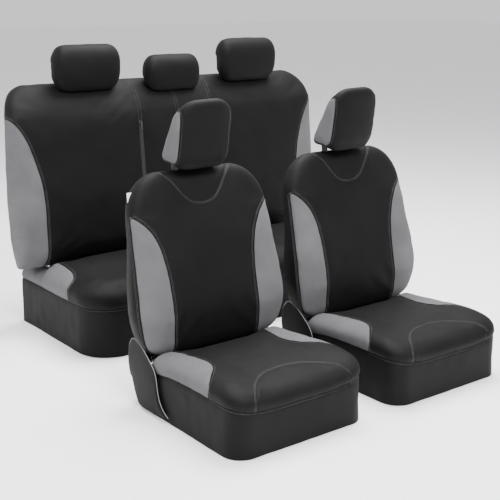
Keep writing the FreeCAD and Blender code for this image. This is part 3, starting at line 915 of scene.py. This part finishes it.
# ---- front seats ----
arch = region([(0, 0.108), (0.045, 0.104), (0.09, 0.086), (0.13, 0.052), (0.158, 0.016), (0.172, -0.01),
               (0.174, -0.06, 1), (-0.174, -0.06, 1), (-0.172, -0.01), (-0.158, 0.016), (-0.13, 0.052),
               (-0.09, 0.086), (-0.045, 0.104)])
wedge = region([(0.185, 0.46, 1), (0.165, 0.38), (0.152, 0.32), (0.150, 0.265), (0.161, 0.222),
                (0.186, 0.184), (0.216, 0.152), (0.242, 0.127), (0.262, 0.117), (0.30, 0.112, 1),
                (0.30, 0.46, 1)])
wing_seam = curve((0.10, 0.160), (0.25, 0.160), (0.32, 0.158), (0.38, 0.159), (0.437, 0.164), (0.489, 0.173),
                  (0.523, 0.184), (0.562, 0.207), (0.585, 0.232), (0.602, 0.258), (0.61, 0.280))
gusset_seam = curve((0.15, 0.450), (0.21, 0.438), (0.272, 0.431), (0.352, 0.443), (0.429, 0.464),
                    (0.521, 0.492), (0.60, 0.518))
yoke_seam = curve((0.0, 0.618), (0.03, 0.623), (0.055, 0.640), (0.078, 0.669), (0.095, 0.691), (0.114, 0.708),
                  (0.15, 0.723), (0.19, 0.730), (0.30, 0.735))


FLAP_START, FLAP_REAR = 0.325, 0.556    # from beside the cushion to the tail behind the back
FLAP_BEND = 0.021                       # radius of its rear corners
FLAP_BELLY = 0.0035
FLAP_ROWS = 9
flap_low = curve((0.325, 0.019), (0.44, 0.011), (0.482, 0.013), (0.508, 0.042), (0.53, 0.09), (0.556, 0.105))
flap_high = curve((0.325, 0.021), (0.346, 0.034), (0.365, 0.057), (0.3765, 0.089), (0.383, 0.132),
                  (0.395, 0.156), (0.423, 0.181), (0.461, 0.208), (0.510, 0.222), (0.556, 0.170))


def flap_path():
    """Plan of the flaps: along one side, round behind the seat and back along the other side."""
    turn = FLAP_REAR - FLAP_BEND
    stops = np.concatenate([np.linspace(FLAP_START, 0.366, 9), np.linspace(0.3685, 0.388, 12),
                            np.linspace(0.392, turn, 26)])
    half = [(-0.2515 - 0.004 * math.sin((y - FLAP_START) * 15), y) for y in stops]
    half += [(-0.2305 - FLAP_BEND * math.cos(a), turn + FLAP_BEND * math.sin(a))
             for a in np.linspace(0.15, math.pi / 2, 8)]
    half += [(x, FLAP_REAR) for x in np.linspace(-0.215, 0, 18)]
    return np.array(half + [(-x, y) for x, y in half[-2::-1]])


def make_flaps(side, place):
    """Flap piece with its thickness, and the light piping along its upper edge."""
    path = flap_path()
    x, y = path.T
    run = np.gradient(path, axis=0)
    out = unit(np.stack([-run[:, 1], run[:, 0]], 1))
    low = flap_low(y)
    high = np.where(np.abs(x) < 0.22, 0.150, flap_high(y))
    high = low + (high - low) * (1 - 0.42 * step_up(x, -0.15, 0.20))
    low = low - 0.057 * (1 - step_up(np.abs(x), 0.196, 0.213))
    u = np.linspace(0, 1, FLAP_ROWS)

    def layer(lift):
        plan = path[:, None] + out[:, None] * (FLAP_BELLY * np.sin(math.pi * u) + lift)[:, None]
        return np.dstack([plan, low[:, None] + (high - low)[:, None] * u])

    points, faces = sheet(layer(SHELL), layer(0.0))
    flap = new_object(side + "_rear_flap", points + place, faces, BLACK)
    rim = np.column_stack([path + out * SHELL / 2, high])
    points, faces = tube(resample(rim, 0.005, 2), 0.0013, np.array([0.0, 0.0, 1.0]))
    cord = new_object(side + "_flap_piping", points + place, faces, SILVER)
    for piece, slot in ((flap, "black_fabric"), (cord, "grey_fabric")):
        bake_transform(piece)
    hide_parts("rear_flaps")


# cover, panel, piece, then the CAD nodes it stands for
FRONT_PANELS = (("seat", "skirt", "skirt", "skirt"),
                ("seat", "rest", "seat", "seat_cover", "cushion_foam"),
                ("seat", "arch", "seat_front", "seat_front_panel"),
                ("seat", "wedge", "seat_side", "seat_side_panels"),
                ("back", "rest", "back", "back_cover", "back_foam"),
                ("back", "yoke", "yoke", "back_yoke"),
                ("back", "wing", "wing", "back_side_panels"),
                ("back", "shell", "shell", "back_shell"),
                ("headrest", "rest", "headrest", "headrest_cover", "headrest_foam"),
                ("headrest", "side", "headrest_side", "headrest_side_panels"))


def dress_front_seats():
    covers = {
        "seat": Cover(front_cushion, (-0.29, -0.04, -0.035), (0.29, 0.52, 0.24), FRONT_CELL,
                      {"below": lambda x, y, z: z - HEM_Z,
                       "skirt": lambda x, y, z: z - front_seam(x, y),
                       "arch": lambda x, y, z: arch(x, y),
                       "wedge": lambda x, y, z: wedge(np.abs(x), y)}, held=["below", "skirt"]),
        "back": Cover(front_back, (-0.31, 0.39, 0.12), (0.31, 0.63, 0.77), FRONT_CELL,
                      {"shell": lambda x, y, z: front_rear(z) - 0.028 - y,
                       "yoke": lambda x, y, z: yoke_seam(np.abs(x)) - z,
                       "wing": lambda x, y, z: smax(0.9 * (wing_seam(z) - np.abs(x)),
                                                    0.95 * (y - gusset_seam(z)), 0.006)}),
        "headrest": Cover(front_headrest, (-0.13, 0.43, 0.72), (0.13, 0.62, 0.97), FRONT_CELL * 0.8,
                          {"side": lambda x, y, z: smax(0.092 - np.abs(x), z - 0.932, 0.004)})}
    edges = {"seat": seam_parts(covers["seat"], [("arch", "rest", TWIN), ("wedge", "rest", SINGLE),
                                                 ("rest", "skirt", SINGLE), ("arch", "skirt", SINGLE)],
                                [("wedge", "rest"), ("wedge", "skirt")]),
             "back": seam_parts(covers["back"], [("wing", "rest", TWIN), ("yoke", "rest", TWIN)],
                                [("wing", "rest"), ("shell", "rest"), ("shell", "yoke")]),
             "headrest": seam_parts(covers["headrest"], [("side", "rest", SINGLE)], [("side", "rest")])}
    for side in ("left", "right"):
        place = np.array([FRONT_X[side], FRONT_Y, 0.0])
        bodies = {"seat": "seat_bases", "back": side + "_back", "headrest": side + "_headrest"}
        sew(covers, FRONT_PANELS, side + "_", place, bodies)
        for part, (thread, cords) in edges.items():
            edge(thread, cords, side + "_" + part, place, bodies[part])
        make_flaps(side, place)


# ---- bench ----
bench_corner = region([(0.565, 0.70, 1), (0.562, 0.38), (0.562, 0.30), (0.567, 0.245), (0.580, 0.205),
                       (0.602, 0.181), (0.645, 0.182), (0.70, 0.20, 1), (0.70, 0.70, 1)])
bench_wing = curve((0.20, 0.590), (0.45, 0.590), (0.55, 0.594), (0.62, 0.607), (0.66, 0.618), (0.705, 0.633),
                   (0.745, 0.651), (0.777, 0.671), (0.80, 0.694), (0.816, 0.722), (0.822, 0.76))
BENCH_PANELS = (("seat", "skirt", "skirt", "skirt"),
                ("seat", "rest", "seat", "seat_cover", "cushion_foam"),
                ("seat", "corner", "corner", "corner_panels"),
                ("back", "rest", "back", "back_cover", "back_foam"),
                ("back", "wing", "wing", "back_side_panels"),
                ("back", "shell", "shell", "back_shell"))


def zip_line(x, low, top=None):
    """The line up the face of the bench back at this x, over the crest where no top is given."""
    heights = np.arange(low, top or 0.93, 0.006)
    line = [(x, float(bench_face(z)), z) for z in heights]
    if top is None:
        line += [(x, y, 1.0) for y in np.arange(0.500, 0.535, 0.006)]
    return resample(settle(bench_back, np.array(line), 4), 0.005, 3)


def make_zips(cover, place):
    """Tapes with their teeth up the face of the bench back, and the stitching that holds them."""
    tapes, teeth, thread = [], [], []
    for x in ZIP_X:
        line = zip_line(x, ZIP_LOW, ZIP_TOP)
        normal, side = frames_along(line, bench_back)
        middle = cover.follow(line) + normal * TAPE_LIFT
        tapes.append(loft(np.stack([middle + side * u + normal * lift for u, lift in TAPE_PROFILE], 1)))
        fine = resample(middle, TOOTH_PITCH, 0)
        normal, side = frames_along(fine, bench_back)
        way = unit(np.diff(fine, axis=0))
        for i in range(len(way)):
            shift = TOOTH_SHIFT if i % 2 else -TOOTH_SHIFT
            centre = fine[i] + side[i] * shift + normal[i] * TOOTH_LIFT
            teeth.append(tooth(centre, side[i], way[i], normal[i]))
        for offset in (-0.0062, 0.0062):
            thread.append(stitches(zip_line(x + offset, ZIP_LOW), cover, 0.0, TAPE_LIFT + 0.0004))
    strips = riding(*merged(tapes), "zip_tape_strips", "zip_tape", place, "bench_back")
    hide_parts("zip_tapes")
    riding(*merged(teeth), "zip_teeth", "zip_metal", place, "bench_back")
    return thread


def tooth(centre, side, along, up):
    """One moulded tooth: a short bar with a narrower crown."""
    corners = ((-1, -1), (1, -1), (1, 1), (-1, 1))
    return loft(np.array([[centre + side * s * long + along * t * wide + up * lift for s, t in corners]
                          for lift, long, wide in TOOTH_RINGS]))


def dress_bench():
    place = np.array([0.0, BENCH_Y, 0.0])
    grooves = np.concatenate([zip_line(x, ZIP_LOW) for x in ZIP_X])
    covers = {
        "seat": Cover(bench_cushion, (-0.66, -0.04, -0.045), (0.66, 0.61, 0.30), BENCH_CELL,
                      {"below": lambda x, y, z: z - HEM_Z,
                       "skirt": lambda x, y, z: z - BENCH_SEAM,
                       "corner": lambda x, y, z: bench_corner(np.abs(x), y)}, held=["below", "skirt"]),
        "back": Cover(bench_back, (-0.77, 0.35, 0.22), (0.77, 0.60, 0.985), BENCH_CELL,
                      {"shell": lambda x, y, z: bench_rear(z) - 0.030 - y,
                       "wing": lambda x, y, z: smax(0.9 * (bench_wing(z) - np.abs(x)), y - 0.505, 0.006)},
                      held=["shell"], grooves=grooves)}
    sew(covers, BENCH_PANELS, "bench_", place, {"seat": "seat_bases", "back": "bench_back"})
    thread, cords = seam_parts(covers["seat"], [("corner", "rest", TWIN), ("rest", "skirt", SINGLE)],
                               [("corner", "rest"), ("corner", "skirt")])
    edge(thread, cords, "bench_seat", place, "seat_bases")
    back = covers["back"]
    thread, cords = seam_parts(back, [("wing", "rest", TWIN)], [("wing", "rest"), ("shell", "rest")])
    edge(thread + make_zips(back, place), cords, "bench_back", place, "bench_back")
    for which, (middle, half, low, high) in BENCH_RESTS.items():
        body = "bench_headrest_" + which
        cover = Cover(bench_headrest(middle, half, low, high), (middle - half - 0.02, 0.37, low - 0.03),
                      (middle + half + 0.02, 0.58, high + 0.02), FRONT_CELL,
                      {"gusset": lambda x, y, z: 0.468 + 0.012 * np.abs(x - middle) / half - y})
        points, faces = shell(cover.p, cover.t, cover.normals())
        cloth = riding(points, faces, body + "_cloth", "black_fabric", place, body)
        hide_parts("bench_headrest_cover_" + which, "bench_headrest_foam_" + which)
        edge([], welt(cover, "gusset", "rest"), body, place, body)


# ---- small parts ----
def make_tag():
    """The folded blank label sewn into the edge of the left back."""
    low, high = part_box("care_tag")
    across, up = np.linspace(low[0] - 0.006, high[0], 9), np.linspace(low[2] - 0.014, high[2] - 0.008, 7)
    x, z = np.meshgrid(across, up)
    curl = 0.0025 * np.sin(np.linspace(1, 0, 9) * 2.2) * (z - low[2]) / (high[2] - low[2])
    front = np.dstack([x, (low[1] + high[1]) / 2 + curl, z])
    points, faces = sheet(front, front + (0, 0.0009, 0))
    piece = riding(points, faces, "care_tag_ribbon", "label", np.zeros(3), "left_back")
    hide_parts("care_tag")


# ---- studio ----
def studio():
    world = bpy.data.worlds.new("studio")
    world.use_nodes = True
    background = world.node_tree.nodes["Background"]
    background.inputs["Color"].default_value = (1.0, 1.0, 1.0, 1)
    background.inputs["Strength"].default_value = 0.95
    bpy.context.scene.world = world
    mesh = bpy.data.meshes.new("floor")
    mesh.from_pydata([(-30, -30, 0), (30, -30, 0), (30, 30, 0), (-30, 30, 0)], [], [(0, 1, 2, 3)])
    floor = bpy.data.objects.new("floor", mesh)
    bpy.context.scene.collection.objects.link(floor)
    look = Look("floor_look", 0.9)
    look.colours(look.noise(2), (0.2, (0.93, 0.93, 0.93)), (0.8, (0.95, 0.95, 0.95)))
    mesh.materials.append(look.material)
    for name, spot, aim, size, power in (("key", (-1.0, -3.0, 3.6), (0, 0, 0.6), 1.4, 280),
                                         ("rim", (-3.2, 1.4, 2.6), (0, 0, 0.6), 1.6, 90),
                                         ("top", (0.6, 0.3, 3.4), (0, 0.1, 0.4), 2.0, 300)):
        light = bpy.data.lights.new(name, "AREA")
        light.energy = power
        light.size = size
        lamp = bpy.data.objects.new(name, light)
        lamp.location = spot
        lamp.rotation_euler = (Vector(aim) - Vector(spot)).to_track_quat("-Z", "Y").to_euler()
        bpy.context.scene.collection.objects.link(lamp)


def camera():
    """The viewpoint: to the left of the row, a little above it, looking down across both front seats."""
    data = bpy.data.cameras.new("camera")
    data.lens = 70.85
    data.sensor_width = 36
    data.shift_y = 0.0171
    data.clip_end = 60
    eye = bpy.data.objects.new("camera", data)
    eye.location = (-2.119, -2.6964, 1.2419)
    eye.rotation_euler = (math.radians(90 - 15.214), 0, math.radians(-37.198))
    bpy.context.scene.collection.objects.link(eye)
    bpy.context.scene.camera = eye


dress_front_seats()
dress_bench()
make_tag()
studio()
camera()
